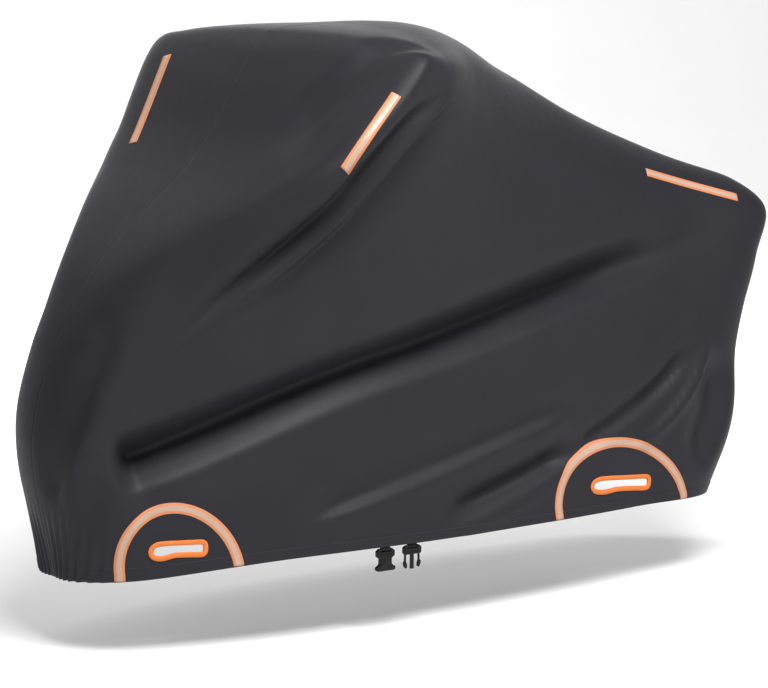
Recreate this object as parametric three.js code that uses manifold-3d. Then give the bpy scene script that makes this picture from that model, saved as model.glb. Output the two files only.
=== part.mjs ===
// Motorcycle cover: a hollow fitted cover of coated cloth, as it hangs over a parked machine.
// Millimetres, +Z up. The front is at minus x and the near side at minus y.
// The tables give x from mid wheelbase, y outward from the centre seam and z above the ground.
import * as THREE from 'three';
import { mergeVertices } from 'three/addons/utils/BufferGeometryUtils.js';
import loadManifold from 'manifold-3d';

const wasm = await loadManifold();
wasm.setup();

// Driving sizes
const CLOTH = 2;               // thickness of the coated cloth
const HEM_EXTRA = 1.5;         // the turned hem is thicker than the cloth by this, on its inside
const GAP = 0.3;               // kept between pieces that touch
const LAID_GAP = 0.45;         // the same under tape and binding, where the facets take some of it up
const TAPE_WIDTH = 25;         // reflective tape
const TAPE_THICK = 1.2;
const BINDING_LIP = 10;        // how far the binding of a lock slot reaches over the cloth
const BINDING_THICK = 2;
const CROWN_X = -240;          // the top that the machine carries, which is the origin
const CROWN_Z = 1434;
const STEER = 0.083;           // the bars are turned: the near end lies back by this share of y
const STEER_FROM_Z = 1050;     // below this the turn of the bars no longer shows
const STEER_FULL_Z = 1380;
const STEER_FULL_X = -250;     // behind mid wheelbase it does not show either
const SEAM_FADE = 70;          // folds die out this close to the centre seam

// The cut of the cover: levels from the centre seam down to the hem, each read along nine ribs
// from front to rear: front seam, bar end, behind the bar, tank, seat, pillion, rear wheel,
// tail corner, rear seam
const LEVELS = [
  { name: 'crest',
    x: [ -430,  -385,  -240,     0,   250,   500,   750,   960,  1040],
    y: [    0,     0,     0,     0,     0,     0,     0,     0,     0],
    z: [ 1424,  1431,  1436,  1424,  1307,  1180,  1078,  1004,   980] },
  { name: 'brow',
    x: [ -470,  -378,  -245,   -15,   235,   485,   745,   985,  1068],
    y: [    0,   395,   360,   215,   125,   105,    95,    95,     0],
    z: [ 1392,  1408,  1400,  1378,  1268,  1150,  1056,   988,   945] },
  { name: 'shoulder',
    x: [ -520,  -385,  -275,   -55,   200,   460,   730,  1022,  1082],
    y: [    0,   506,   472,   335,   220,   180,   165,   180,     0],
    z: [ 1320,  1376,  1338,  1280,  1190,  1085,  1003,   922,   895] },
  { name: 'flank',
    x: [ -635,  -553,  -410,  -150,   120,   400,   685,   963,  1040],
    y: [    0,   475,   462,   382,   305,   266,   245,   215,     0],
    z: [ 1145,  1160,  1110,  1020,   970,   900,   840,   800,   780] },
  { name: 'waist',
    x: [ -955,  -908,  -722,  -380,   -30,   300,   575,   868,   950],
    y: [    0,   196,   318,   352,   340,   322,   295,   248,     0],
    z: [  850,   862,   800,   720,   680,   640,   600,   580,   570] },
  { name: 'skirt',
    x: [-1095, -1055,  -918,  -560,  -150,   220,   505,   838,   920],
    y: [    0,   148,   218,   310,   340,   335,   315,   270,     0],
    z: [  520,   520,   480,   450,   430,   410,   400,   380,   370] },
  { name: 'hem',
    x: [-1046, -1040,  -955,  -620,  -200,   180,   460,   755,   850],
    y: [    0,    70,   190,   315,   355,   350,   325,   268,     0],
    z: [  172,   172,   182,   210,   210,   208,   205,   198,   200] },
];
const RIB_DIVISIONS = [6, 9, 8, 6, 6, 5, 6, 4];      // grid columns between one rib and the next
const LEVEL_DIVISIONS = [3, 2, 4, 5, 5, 4];          // grid rows between one level and the next
const LAST_RIB = RIB_DIVISIONS.length;
const HEM_LEVEL = LEVEL_DIVISIONS.length;
const HEM_BAND = { top: 0.12, full: 0.1 };           // the hem's step in thickness, in levels above the hem

// Folds: each has the reach of its upper and its lower bank, its rise (minus is a valley), the shares
// of its length over which it starts and ends, and points along it
const FOLDS = [
  { name: 'hollow before the bar end', side: 'near',
    upper: 90, lower: 100, rise: -18, start: 0.2, end: 0.3,
    along: [[-300, 370, 1410], [-440, 390, 1345], [-530, 335, 1250], [-620, 300, 1140]] },
  { name: 'front ridge', side: 'near',
    upper: 90, lower: 60, rise: 20, start: 0.3, end: 0.25,
    along: [[-400, 520, 1325], [-545, 480, 1160], [-630, 415, 1050], [-880, 240, 800]] },
  { name: 'crease behind the ridge', side: 'near',
    upper: 48, lower: 46, rise: -14, start: 0.3, end: 0.2,
    along: [[-250, 455, 1330], [-415, 510, 1235], [-495, 485, 1145], [-570, 410, 1030], [-950, 210, 665]] },
  { name: 'line below the crease', side: 'near',
    upper: 50, lower: 90, rise: -8, start: 0.3, end: 0.25,
    along: [[-210, 440, 1300], [-340, 480, 1205], [-420, 455, 1110], [-515, 410, 990], [-800, 280, 730]] },
  { name: 'long trough', side: 'near',
    upper: 135, lower: 220, rise: -58, start: 0.2, end: 0.1,
    along: [[930, 210, 910], [270, 310, 780], [-170, 345, 680], [-480, 330, 610], [-850, 245, 490],
      [-1000, 185, 440]] },
  { name: 'low ridge', side: 'near',
    upper: 60, lower: 60, rise: 14, start: 0.2, end: 0.2,
    along: [[285, 330, 475], [50, 340, 420], [-240, 345, 345], [-590, 315, 270]] },
  { name: 'valley below the low ridge', side: 'near',
    upper: 75, lower: 65, rise: -22, start: 0.25, end: 0.3,
    along: [[275, 330, 383], [65, 345, 320], [-200, 350, 250]] },
  { name: 'trough before the rear wheel', side: 'near',
    upper: 60, lower: 45, rise: -18, start: 0.25, end: 0.25,
    along: [[705, 290, 620], [570, 305, 505], [390, 320, 420], [180, 330, 352]] },
  { name: 'ridge over the rear wheel', side: 'near',
    upper: 55, lower: 55, rise: 14, start: 0.25, end: 0.25,
    along: [[745, 285, 630], [685, 300, 515], [590, 315, 425], [420, 335, 335]] },
  { name: 'trough behind the rear wheel', side: 'near',
    upper: 100, lower: 70, rise: -30, start: 0.3, end: 0.4,
    along: [[790, 275, 590], [765, 280, 450], [715, 295, 340], [670, 305, 260]] },
  { name: 'pull to the tail', side: 'near',
    upper: 60, lower: 60, rise: 8, start: 0.3, end: 0.3,
    along: [[760, 275, 675], [660, 285, 610], [505, 310, 540], [340, 325, 500]] },
  { name: 'hollow beside the nose', side: 'near',
    upper: 90, lower: 70, rise: -13, start: 0.4, end: 0.2,
    along: [[-960, 130, 825], [-1005, 155, 705], [-1085, 90, 470], [-1080, 45, 350]] },
  { name: 'crease behind the far bar', side: 'far',
    upper: 55, lower: 55, rise: -15, start: 0.2, end: 0.3,
    along: [[-250, 460, 1310], [-400, 440, 1120], [-560, 370, 960], [-740, 270, 800]] },
  { name: 'far trough', side: 'far',
    upper: 110, lower: 180, rise: -36, start: 0.3, end: 0.15,
    along: [[820, 235, 880], [420, 285, 800], [60, 325, 720], [-320, 340, 640], [-700, 280, 540]] },
  { name: 'far low ridge', side: 'far',
    upper: 60, lower: 60, rise: 12, start: 0.2, end: 0.2,
    along: [[420, 322, 470], [60, 340, 400], [-300, 342, 330], [-540, 320, 270]] },
  { name: 'far tail trough', side: 'far',
    upper: 65, lower: 80, rise: -16, start: 0.3, end: 0.3,
    along: [[800, 275, 640], [720, 300, 500], [640, 312, 380]] },
];
const FOLD_STEPS = 60;         // steps along the line of a fold
const OFF_CLOTH_SHARE = 0.1;   // how much a distance off the cloth counts against one along it

// Straight tapes: where each starts and ends, counted in ribs from the front and levels from the crest,
// and the way from which it looks straight
const FROM_NEAR = [-0.58, -0.8, 0.15];
const FROM_FAR = [-0.58, 0.8, 0.15];
const LEAST_WIDTH = 0.75;      // share of the tape's width that shows from there, at the least
const STRIPS = [
  { name: 'strip_front_near', side: 'near', from: [0.93, 2.42], to: [1.12, 3.06], seen: FROM_NEAR },
  { name: 'strip_front_far', side: 'far', from: [0.58, 2.08], to: [0.54, 3.06], seen: FROM_NEAR },
  { name: 'strip_rear_near', side: 'near', from: [5.6, 2], to: [6.58, 2], seen: FROM_NEAR },
  { name: 'strip_rear_far', side: 'far', from: [5.6, 2], to: [6.58, 2], seen: FROM_FAR },
];

// Wheel arches and lock slots, each on a plane that yaw turns to the cloth: an arch's top lies forward of
// its legs by its slant, and lean tips a slot
const WHEELS = [
  { name: 'front', x: -846, y: 240, yaw: -24, archZ: 195, archHalf: 153, archRise: 168, archSlant: 18,
    slotX: -851, slotZ: 255, slotLength: 120, slotLean: -1 },
  { name: 'rear', x: 419, y: 330, yaw: 4.3, archZ: 203, archHalf: 234, archRise: 189, archSlant: 43,
    slotX: 412, slotZ: 272, slotLength: 196, slotLean: -6 },
];
// The edge of a slot, with a full, drooping front end: share of its half length, height
const SLOT_EDGE = [[0.96, -10], [1, -7], [1, 7], [0.96, 10], [0.5, 11], [0, 11], [-0.5, 10.5], [-0.82, 8],
  [-0.97, 1], [-1, -6], [-0.95, -12.5], [-0.82, -16], [-0.62, -16.5], [-0.42, -14], [-0.2, -10.5],
  [0.1, -9.5], [0.5, -10]];
const ARCH_SEGMENTS = 10;      // facets of each half ellipse
const ARCH_LEG = -60;          // foot of an arch's legs, below the hem
const PRISM_DEPTH = 160;       // cutting prisms reach half of this to each side of the cloth
const STRIP_DEPTH = 60;        // the same for the straight strips

// Buckle halves, each on a webbing loop behind the near hem: their places in ribs from the front
const BUCKLE_FEMALE_AT = 3.68;
const BUCKLE_MALE_AT = 3.86;
const WEB_WIDTH = 26;
const WEB_THICK = 1.6;
const WEB_SEWN = 18;           // height of the webbing that is sewn behind the hem
const WEB_DROP = 7;            // from the hem down to the buckle's bar
const WEB_GAP = 2.2;           // between the hem and the webbing, as the hem curves
const BAR = 4;                 // side of the bar that the webbing loops round
const EYE_RISE = 2.2 * BAR;    // top of the loop's eye above the bar
const WINDOW_PLAY = 1;         // round the webbing in a buckle's window
// Outlines of the buckle's pieces: x from the middle, z from the hem; half is mirrored
const SOCKET = { thick: 13, wall: 2, mouthHalf: 13, mouthTop: -25,
  half: [[17, -5], [24.5, -11], [24.5, -23], [16, -29], [16, -42], [19, -46], [26, -50], [26, -56],
    [23, -59]] };
const BLOCK = { thick: 11, half: [[18, -5], [25, -10], [25, -23], [21, -27]] };
const PRONG = { thick: 6,
  outline: [[17.5, -26], [21, -26], [21.5, -42], [25, -47], [23.5, -55], [19, -61], [14.5, -58], [15.5, -49],
    [18, -43]] };
const GUIDE = { half: 4.5, top: -24, low: -63 };

// Colours and finishes
const finish = (color, roughness, metalness) => (
  new THREE.MeshStandardMaterial({ color, roughness, metalness }));
const CLOTH_FINISH = finish('#3b3a40', 0.62, 0);
const TAPE_FINISH = finish('#e0a886', 0.45, 0.1);
const BINDING_FINISH = finish('#f28a3c', 0.6, 0);
const WEB_FINISH = finish('#1b1b1d', 0.8, 0);
const PLASTIC_FINISH = finish('#151517', 0.45, 0);

const cover = new THREE.Group();
cover.position.set(-CROWN_X, 0, -CROWN_Z);

const sideSign = (side) => (side === 'near' ? -1 : 1);
const clamp01 = (value) => Math.min(1, Math.max(0, value));
const smooth = (from, to, value) => {
  const share = clamp01((value - from) / (to - from));
  return share * share * (3 - 2 * share);
};

function add(name, geometry, material, parent = cover) {
  const mesh = new THREE.Mesh(geometry, material);
  mesh.name = name;
  parent.add(mesh);
  return mesh;
}

// A curve through points, with a phantom point at each end; it is read in steps of one from point to point
function curveThrough(points, before, after) {
  const curve = new THREE.CatmullRomCurve3([before, ...points, after], false, 'centripetal');
  const last = points.length + 1;
  return (step) => curve.getPoint((step + 1) / last);
}

const mirrored = (p) => new THREE.Vector3(p.x, -p.y, p.z);
const beyond = (end, inner) => end.clone().multiplyScalar(2).sub(inner);

// A point on one side of the cover, with the turn of the bars
function coverPoint([x, y, z], side) {
  const turn = STEER * y * smooth(STEER_FROM_Z, STEER_FULL_Z, z) * smooth(0, STEER_FULL_X, x);
  return new THREE.Vector3(x - sideSign(side) * turn, sideSign(side) * y, z);
}

// The smooth cover without its folds, read by rib and level
function plainSurface(side) {
  const rows = LEVELS.map((level) => {
    const points = level.x.map((x, rib) => coverPoint([x, level.y[rib], level.z[rib]], side));
    const [first, second] = points;
    const [inner, end] = points.slice(-2);
    return level.name === 'crest'
      ? curveThrough(points, beyond(first, second), beyond(end, inner))
      : curveThrough(points, mirrored(second), mirrored(inner));
  });
  return (rib) => {
    const points = rows.map((row) => row(rib));
    const [inner, end] = points.slice(-2);
    return curveThrough(points, mirrored(points[1]), beyond(end, inner));
  };
}

// A fold as places along its line, with their direction and spacing
function foldPath(fold) {
  const marks = fold.along.map((p) => coverPoint(p, fold.side));
  const last = marks.length - 1;
  const curve = curveThrough(marks, beyond(marks[0], marks[1]), beyond(marks[last], marks[last - 1]));
  const places = Array.from({ length: FOLD_STEPS + 1 }, (_, step) => curve(step * last / FOLD_STEPS));
  return places.map((place, step) => {
    const before = Math.max(step - 1, 0);
    const after = Math.min(step + 1, FOLD_STEPS);
    const run = places[after].clone().sub(places[before]);
    return { step, place, pace: run.length() / (after - before), direction: run.normalize() };
  });
}
const PATHS = new Map(FOLDS.map((fold) => [fold, foldPath(fold)]));

// How far a fold lifts the cloth at a point: a crease or ridge with two banks that dies out at its ends
function foldLift(fold, point, normal) {
  let nearest = null;
  let distance = Infinity;
  for (const mark of PATHS.get(fold)) {
    const away = mark.place.distanceTo(point);
    if (away < distance) {
      distance = away;
      nearest = mark;
    }
  }
  const offset = point.clone().sub(nearest.place);
  const across = normal.clone().cross(nearest.direction);
  const aside = offset.dot(across);
  const offCloth = offset.dot(normal);
  const reach = aside * across.z > 0 ? fold.upper : fold.lower;
  const share = clamp01(Math.sqrt(aside ** 2 + OFF_CLOTH_SHARE * offCloth ** 2) / reach);
  const place = (nearest.step + offset.dot(nearest.direction) / nearest.pace) / FOLD_STEPS;
  const ends = smooth(0, fold.start, place) * smooth(1, 1 - fold.end, place);
  return fold.rise * (1 - share ** 2) ** 2 * ends;
}

// The outward normal at one point of a grid; on the seam it stays in the plane of the seam
function gridNormal(points, i, j, side, onSeam) {
  const columns = points.length - 1;
  const rows = points[0].length - 1;
  const along = points[Math.min(i + 1, columns)][j].clone().sub(points[Math.max(i - 1, 0)][j]);
  const down = points[i][Math.min(j + 1, rows)].clone().sub(points[i][Math.max(j - 1, 0)]);
  const normal = along.cross(down).multiplyScalar(sideSign(side));
  if (onSeam(i, j)) {
    normal.y = 0;
  }
  return normal.normalize();
}

// Grid steps between table entries, from the number of divisions of each span
const steps = (divisions) => [
  ...divisions.flatMap((count, span) => Array.from({ length: count }, (_, k) => span + k / count)),
  divisions.length,
];
const RIB_STEPS = steps(RIB_DIVISIONS);
const LEVEL_STEPS = [
  ...steps(LEVEL_DIVISIONS).slice(0, -1),
  HEM_LEVEL - HEM_BAND.top,
  HEM_LEVEL - HEM_BAND.full,
  HEM_LEVEL,
].sort((a, b) => a - b);

// The folded cover of one side, as a grid of points with their outward normals
function foldedGrid(side, ribSteps, levelSteps) {
  const surface = plainSurface(side);
  const plain = ribSteps.map((rib) => {
    const curve = surface(rib);
    return levelSteps.map((level) => curve(level));
  });
  const onSeam = (i, j) => [0, LAST_RIB].includes(ribSteps[i]) || levelSteps[j] === 0;
  const folds = FOLDS.filter((fold) => fold.side === side);
  const points = plain.map((column, i) => column.map((point, j) => {
    const normal = gridNormal(plain, i, j, side, onSeam);
    const lift = folds.reduce((sum, fold) => sum + foldLift(fold, point, normal), 0);
    const fade = smooth(0, SEAM_FADE, Math.abs(point.y));
    return point.clone().addScaledVector(normal, lift * fade);
  }));
  const normals = points.map((column, i) => column.map((_, j) => gridNormal(points, i, j, side, onSeam)));
  return { points, normals };
}

const GRIDS = {
  near: foldedGrid('near', RIB_STEPS, LEVEL_STEPS),
  far: foldedGrid('far', RIB_STEPS, LEVEL_STEPS),
};

// The place and outward normal at one rib and level of the folded cover
function placeOn(side, rib, level) {
  const reach = 0.04;
  const ribs = [rib - reach, rib, rib + reach];
  const levels = [level - reach, level, level + reach].filter((step) => step <= HEM_LEVEL);
  const { points, normals } = foldedGrid(side, ribs, levels);
  return { point: points[1][1], normal: normals[1][1] };
}

function indexedGeometry(positions, triangles) {
  const geometry = new THREE.BufferGeometry();
  geometry.setAttribute('position', new THREE.Float32BufferAttribute(positions, 3));
  geometry.setIndex(triangles);
  return geometry;
}

// A closed sheet that follows one side of the cover, between two distances from the cloth's outer face
function sheet(side, below, above) {
  const { points, normals } = GRIDS[side];
  const columns = points.length;
  const rows = points[0].length;
  const shift = new THREE.Vector3(0, sideSign(side) * GAP / 2, 0);
  const positions = [];
  for (const offset of [above, below]) {
    for (let i = 0; i < columns; i += 1) {
      for (let j = 0; j < rows; j += 1) {
        const place = points[i][j].clone().addScaledVector(normals[i][j], offset(j)).add(shift);
        positions.push(place.x, place.y, place.z);
      }
    }
  }
  const outer = (i, j) => i * rows + j;
  const inner = (i, j) => columns * rows + i * rows + j;
  const triangles = [];
  const quad = (a, b, c, d) => {
    const corners = side === 'far' ? [a, b, c, a, c, d] : [c, b, a, d, c, a];
    triangles.push(...corners);
  };
  const right = columns - 1;
  const bottom = rows - 1;
  for (let i = 0; i < right; i += 1) {
    for (let j = 0; j < bottom; j += 1) {
      quad(outer(i, j), outer(i + 1, j), outer(i + 1, j + 1), outer(i, j + 1));
      quad(inner(i, j), inner(i, j + 1), inner(i + 1, j + 1), inner(i + 1, j));
    }
    quad(inner(i, 0), inner(i + 1, 0), outer(i + 1, 0), outer(i, 0));
    quad(outer(i, bottom), outer(i + 1, bottom), inner(i + 1, bottom), inner(i, bottom));
  }
  for (let j = 0; j < bottom; j += 1) {
    quad(outer(0, j), outer(0, j + 1), inner(0, j + 1), inner(0, j));
    quad(outer(right, j + 1), outer(right, j), inner(right, j), inner(right, j + 1));
  }
  return indexedGeometry(positions, triangles);
}

function solidOf(geometry) {
  const bare = geometry.clone();
  bare.deleteAttribute('normal');
  bare.deleteAttribute('uv');
  const merged = mergeVertices(bare, 1e-4);
  const vertProperties = Float32Array.from(merged.attributes.position.array);
  const triVerts = Uint32Array.from(merged.index.array);
  return new wasm.Manifold(new wasm.Mesh({ numProp: 3, vertProperties, triVerts }));
}

function geometryOf(solid) {
  const mesh = solid.getMesh();
  return indexedGeometry(Array.from(mesh.vertProperties), Array.from(mesh.triVerts));
}

const even = (distance) => () => distance;
const tapeSheet = (side) => solidOf(sheet(side, even(LAID_GAP), even(LAID_GAP + TAPE_THICK)));

// A shape drawn in x and z, pushed through the cloth on a plane turned to one wheel's stretch of the side
function prismOnSide(shape, wheel, side, x, z, lean) {
  const geometry = new THREE.ExtrudeGeometry(shape, { depth: PRISM_DEPTH, bevelEnabled: false });
  const along = (x - wheel.x) * Math.tan(THREE.MathUtils.degToRad(-wheel.yaw));
  const place = new THREE.Matrix4()
    .makeTranslation(x, sideSign(side) * (wheel.y + along), z)
    .multiply(new THREE.Matrix4().makeRotationZ(THREE.MathUtils.degToRad(-sideSign(side) * wheel.yaw)))
    .multiply(new THREE.Matrix4().makeRotationX(Math.PI / 2))
    .multiply(new THREE.Matrix4().makeRotationZ(THREE.MathUtils.degToRad(lean)))
    .multiply(new THREE.Matrix4().makeTranslation(0, 0, -PRISM_DEPTH / 2));
  return solidOf(geometry.applyMatrix4(place));
}

// One edge of an arch: a half ellipse that slants forward, between two legs that run past the hem
function archEdge(wheel, inset) {
  const share = 1 - inset / wheel.archRise;
  const edge = Array.from({ length: ARCH_SEGMENTS + 1 }, (_, k) => {
    const turn = Math.PI * k / ARCH_SEGMENTS;
    const across = (wheel.archHalf - inset) * Math.cos(turn);
    return [across - wheel.archSlant * share * Math.sin(turn), (wheel.archRise - inset) * Math.sin(turn)];
  });
  const foot = ([x]) => [x, ARCH_LEG];
  return [foot(edge[0]), ...edge, foot(edge.at(-1))];
}

function archShape(wheel) {
  return polygon([...archEdge(wheel, 0), ...archEdge(wheel, TAPE_WIDTH).reverse()]);
}

// The outline of a lock slot, grown outward
function slotShape(length, grow) {
  const marks = SLOT_EDGE.map(([share, height]) => new THREE.Vector2(share * length / 2, height));
  return new THREE.Shape(marks.map((mark, k) => {
    const heading = marks[(k + 1) % marks.length].clone().sub(marks.at(k - 1)).normalize();
    return mark.clone().add(new THREE.Vector2(heading.y, -heading.x).multiplyScalar(grow));
  }));
}

function slotPrism(wheel, side, grow) {
  const shape = slotShape(wheel.slotLength, grow);
  return prismOnSide(shape, wheel, side, wheel.slotX, wheel.slotZ, wheel.slotLean);
}

// Cloth: one panel each side, sewn together along the centre seam, with the lock slots cut through
const hemThickness = (j) => -CLOTH - (LEVEL_STEPS[j] >= HEM_LEVEL - HEM_BAND.full ? HEM_EXTRA : 0);
for (const side of ['near', 'far']) {
  const slots = WHEELS.map((wheel) => slotPrism(wheel, side, 0));
  const cloth = solidOf(sheet(side, hemThickness, even(0)));
  const panel = slots.reduce((solid, slot) => solid.subtract(slot), cloth);
  add(`panel_${side}`, geometryOf(panel), CLOTH_FINISH);
}

// Reflective tape: an arch over each wheel
for (const side of ['near', 'far']) {
  for (const wheel of WHEELS) {
    const prism = prismOnSide(archShape(wheel), wheel, side, wheel.x, wheel.archZ, 0);
    add(`arch_${wheel.name}_${side}`, geometryOf(tapeSheet(side).intersect(prism)), TAPE_FINISH);
  }
}

// Reflective tape: straight strips by the bars and along the tail
for (const strip of STRIPS) {
  const [from, to] = [strip.from, strip.to].map(([rib, level]) => placeOn(strip.side, rib, level));
  const halfway = strip.from.map((start, k) => (start + strip.to[k]) / 2);
  const { normal } = placeOn(strip.side, ...halfway);
  const run = to.point.clone().sub(from.point);
  const lengthwise = run.clone().normalize();
  const crosswise = new THREE.Vector3(...strip.seen).cross(lengthwise).normalize();
  const through = lengthwise.clone().cross(crosswise);
  const slope = Math.abs(normal.cross(lengthwise).normalize().dot(crosswise));
  const foreshortening = Math.max(LEAST_WIDTH, slope);
  const box = new THREE.BoxGeometry(run.length(), TAPE_WIDTH * foreshortening, STRIP_DEPTH);
  const middle = from.point.clone().add(to.point).multiplyScalar(0.5);
  box.applyMatrix4(new THREE.Matrix4().makeBasis(lengthwise, crosswise, through).setPosition(middle));
  add(strip.name, geometryOf(tapeSheet(strip.side).intersect(solidOf(box))), TAPE_FINISH);
}

// Bindings: a folded tape that grips the edge of each lock slot from both faces
for (const side of ['near', 'far']) {
  const reach = LAID_GAP + BINDING_THICK;
  const over = solidOf(sheet(side, even(-CLOTH - reach), even(reach)));
  const inside = solidOf(sheet(side, even(-CLOTH - LAID_GAP), even(LAID_GAP)));
  for (const wheel of WHEELS) {
    const outline = (grow) => slotPrism(wheel, side, grow);
    const ring = over.intersect(outline(BINDING_LIP)).subtract(outline(-reach));
    const channel = inside.subtract(outline(-LAID_GAP));
    add(`binding_${wheel.name}_${side}`, geometryOf(ring.subtract(channel)), BINDING_FINISH);
  }
}

// An upright frame on the near hem: x along the hem, y outward, z up
function hemFrame(rib) {
  const { point, normal } = placeOn('near', rib, HEM_LEVEL);
  const up = new THREE.Vector3(0, 0, 1);
  const outward = normal.setZ(0).normalize();
  const frame = new THREE.Group();
  const basis = new THREE.Matrix4().makeBasis(outward.clone().cross(up), outward, up);
  frame.quaternion.setFromRotationMatrix(basis);
  frame.position.copy(point);
  cover.add(frame);
  return frame;
}

// Shapes are drawn in x and z and given a thickness in y about a middle plane
function plate(shape, thick, middle) {
  const geometry = new THREE.ExtrudeGeometry(shape, { depth: thick, bevelEnabled: false });
  return geometry.rotateX(Math.PI / 2).translate(0, middle + thick / 2, 0);
}

function polygon(points) {
  return new THREE.Shape(points.map(([x, z]) => new THREE.Vector2(x, z)));
}

function rectangle(left, right, low, high) {
  return polygon([[left, low], [right, low], [right, high], [left, high]]);
}

function mirroredOutline(half) {
  return polygon([...half, ...half.map(([x, z]) => [-x, z]).reverse()]);
}

// The webbing is sewn flat behind the hem and loops round the buckle's bar below it
const SEWN_THICK = 2 * WEB_THICK;
const SEWN_MIDDLE = -CLOTH - HEM_EXTRA - WEB_GAP - SEWN_THICK / 2;
const LOOP_HALF = BAR * Math.SQRT1_2 + LAID_GAP + WEB_THICK;
const BAR_Z = -WEB_DROP;
function webbingLoop() {
  const outline = new THREE.Shape();
  outline.moveTo(SEWN_THICK / 2, WEB_SEWN);
  outline.lineTo(-SEWN_THICK / 2, WEB_SEWN);
  outline.lineTo(-SEWN_THICK / 2, 0);
  outline.lineTo(-LOOP_HALF, BAR_Z);
  outline.absarc(0, BAR_Z, LOOP_HALF, Math.PI, 2 * Math.PI, false);
  outline.lineTo(SEWN_THICK / 2, 0);
  const eye = new THREE.Path();
  eye.moveTo(-LOOP_HALF + WEB_THICK, BAR_Z);
  eye.lineTo(0, BAR_Z + EYE_RISE);
  eye.lineTo(LOOP_HALF - WEB_THICK, BAR_Z);
  eye.absarc(0, BAR_Z, LOOP_HALF - WEB_THICK, 0, -Math.PI, true);
  outline.holes.push(eye);
  const settings = { depth: WEB_WIDTH, bevelEnabled: false, curveSegments: 8 };
  const geometry = new THREE.ExtrudeGeometry(outline, settings);
  const drawnInYZ = new THREE.Matrix4().makeBasis(
    new THREE.Vector3(0, 1, 0), new THREE.Vector3(0, 0, 1), new THREE.Vector3(1, 0, 0));
  return geometry.applyMatrix4(drawnInYZ).translate(-WEB_WIDTH / 2, SEWN_MIDDLE, 0);
}

// The window that the webbing passes through, below the bar at the top of a buckle half
const WINDOW_LOW = BAR_Z - LOOP_HALF - WINDOW_PLAY;
const BUCKLE_TOP = BAR_Z + BAR / 2;
function cutWindow(body) {
  const half = WEB_WIDTH / 2 + WINDOW_PLAY;
  const room = plate(rectangle(-half, half, WINDOW_LOW, BUCKLE_TOP + 1), 4 * BAR, SEWN_MIDDLE);
  const bar = plate(rectangle(-half - 1, half + 1, BAR_Z - BAR / 2, BUCKLE_TOP), BAR, SEWN_MIDDLE);
  return body.subtract(solidOf(room)).add(solidOf(bar));
}

// Female half: a waisted socket with its mouth downward
function femaleHalf() {
  const body = solidOf(plate(mirroredOutline(SOCKET.half), SOCKET.thick, SEWN_MIDDLE));
  const foot = SOCKET.half.at(-1)[1];
  const mouthShape = rectangle(-SOCKET.mouthHalf, SOCKET.mouthHalf, foot - 1, SOCKET.mouthTop);
  const mouth = plate(mouthShape, SOCKET.thick - 2 * SOCKET.wall, SEWN_MIDDLE);
  return geometryOf(cutWindow(body).subtract(solidOf(mouth)));
}

// Male half: a block with a guide between two barbed prongs
function maleHalf() {
  const block = solidOf(plate(mirroredOutline(BLOCK.half), BLOCK.thick, SEWN_MIDDLE));
  const guide = plate(rectangle(-GUIDE.half, GUIDE.half, GUIDE.low, GUIDE.top), PRONG.thick, SEWN_MIDDLE);
  const prongs = [-1, 1].map((hand) => {
    const outline = polygon(PRONG.outline.map(([x, z]) => [hand * x, z]));
    return plate(outline, PRONG.thick, SEWN_MIDDLE);
  });
  const pieces = [guide, ...prongs].map(solidOf);
  return geometryOf(pieces.reduce((solid, piece) => solid.add(piece), cutWindow(block)));
}

// Buckle halves, hanging side by side from the near hem
const femaleFrame = hemFrame(BUCKLE_FEMALE_AT);
add('webbing_female', webbingLoop(), WEB_FINISH, femaleFrame);
add('buckle_female', femaleHalf(), PLASTIC_FINISH, femaleFrame);
const maleFrame = hemFrame(BUCKLE_MALE_AT);
add('webbing_male', webbingLoop(), WEB_FINISH, maleFrame);
add('buckle_male', maleHalf(), PLASTIC_FINISH, maleFrame);

export default cover;
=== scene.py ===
"""A fitted motorcycle cover of coated cloth, hollow, in the draped shape that it keeps in use."""
import math

import bmesh
import bpy
import numpy as np
from mathutils import Matrix, Vector
from mathutils.bvhtree import BVHTree


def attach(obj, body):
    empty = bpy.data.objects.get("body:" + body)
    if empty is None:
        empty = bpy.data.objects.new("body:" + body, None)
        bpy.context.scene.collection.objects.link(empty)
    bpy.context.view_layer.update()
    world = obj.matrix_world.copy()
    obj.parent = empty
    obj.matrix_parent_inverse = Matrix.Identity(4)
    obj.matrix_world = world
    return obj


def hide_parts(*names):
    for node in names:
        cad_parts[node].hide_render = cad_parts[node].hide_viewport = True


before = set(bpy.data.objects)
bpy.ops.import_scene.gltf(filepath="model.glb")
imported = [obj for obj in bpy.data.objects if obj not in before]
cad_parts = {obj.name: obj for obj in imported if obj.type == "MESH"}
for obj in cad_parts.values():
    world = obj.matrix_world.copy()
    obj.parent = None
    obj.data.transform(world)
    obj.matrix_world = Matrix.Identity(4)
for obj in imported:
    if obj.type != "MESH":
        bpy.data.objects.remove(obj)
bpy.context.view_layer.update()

# The two side panels are charcoal polyester cloth with a coated, water-tight face. They are cut as mirror
# halves and sewn together along the centre seam over the front, the top and the tail, and the lower edge is
# turned up into a stitched hem that is gathered at the nose and at the tail.
MM = 0.001
CROWN = np.array([-240, 0, 1434])      # from the tables' origin, on the ground, to the part's, in mm
CLOTH = 2.0                            # thickness of the panels
STEER = 0.083                          # the bars are turned: the near bar end lies back
STEER_RANGE = (1050, 1380)             # heights between which the turn of the bars comes in
STEER_FULL = -250                      # and the place along the cover before which it is full
SEAM_FADE = 70                         # folds die out this close to the centre seam
FOLD_STEPS = 60                        # steps along the line of a fold
FOLD_MARGIN = 250                      # no fold reaches further from its line than this
OFF_CLOTH = 0.1                        # how far the height off the cloth counts as distance from a fold
TIP = 5                                # the cloth turns over no sharper than this in a crease
SIGN = {"near": -1, "far": 1}

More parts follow.
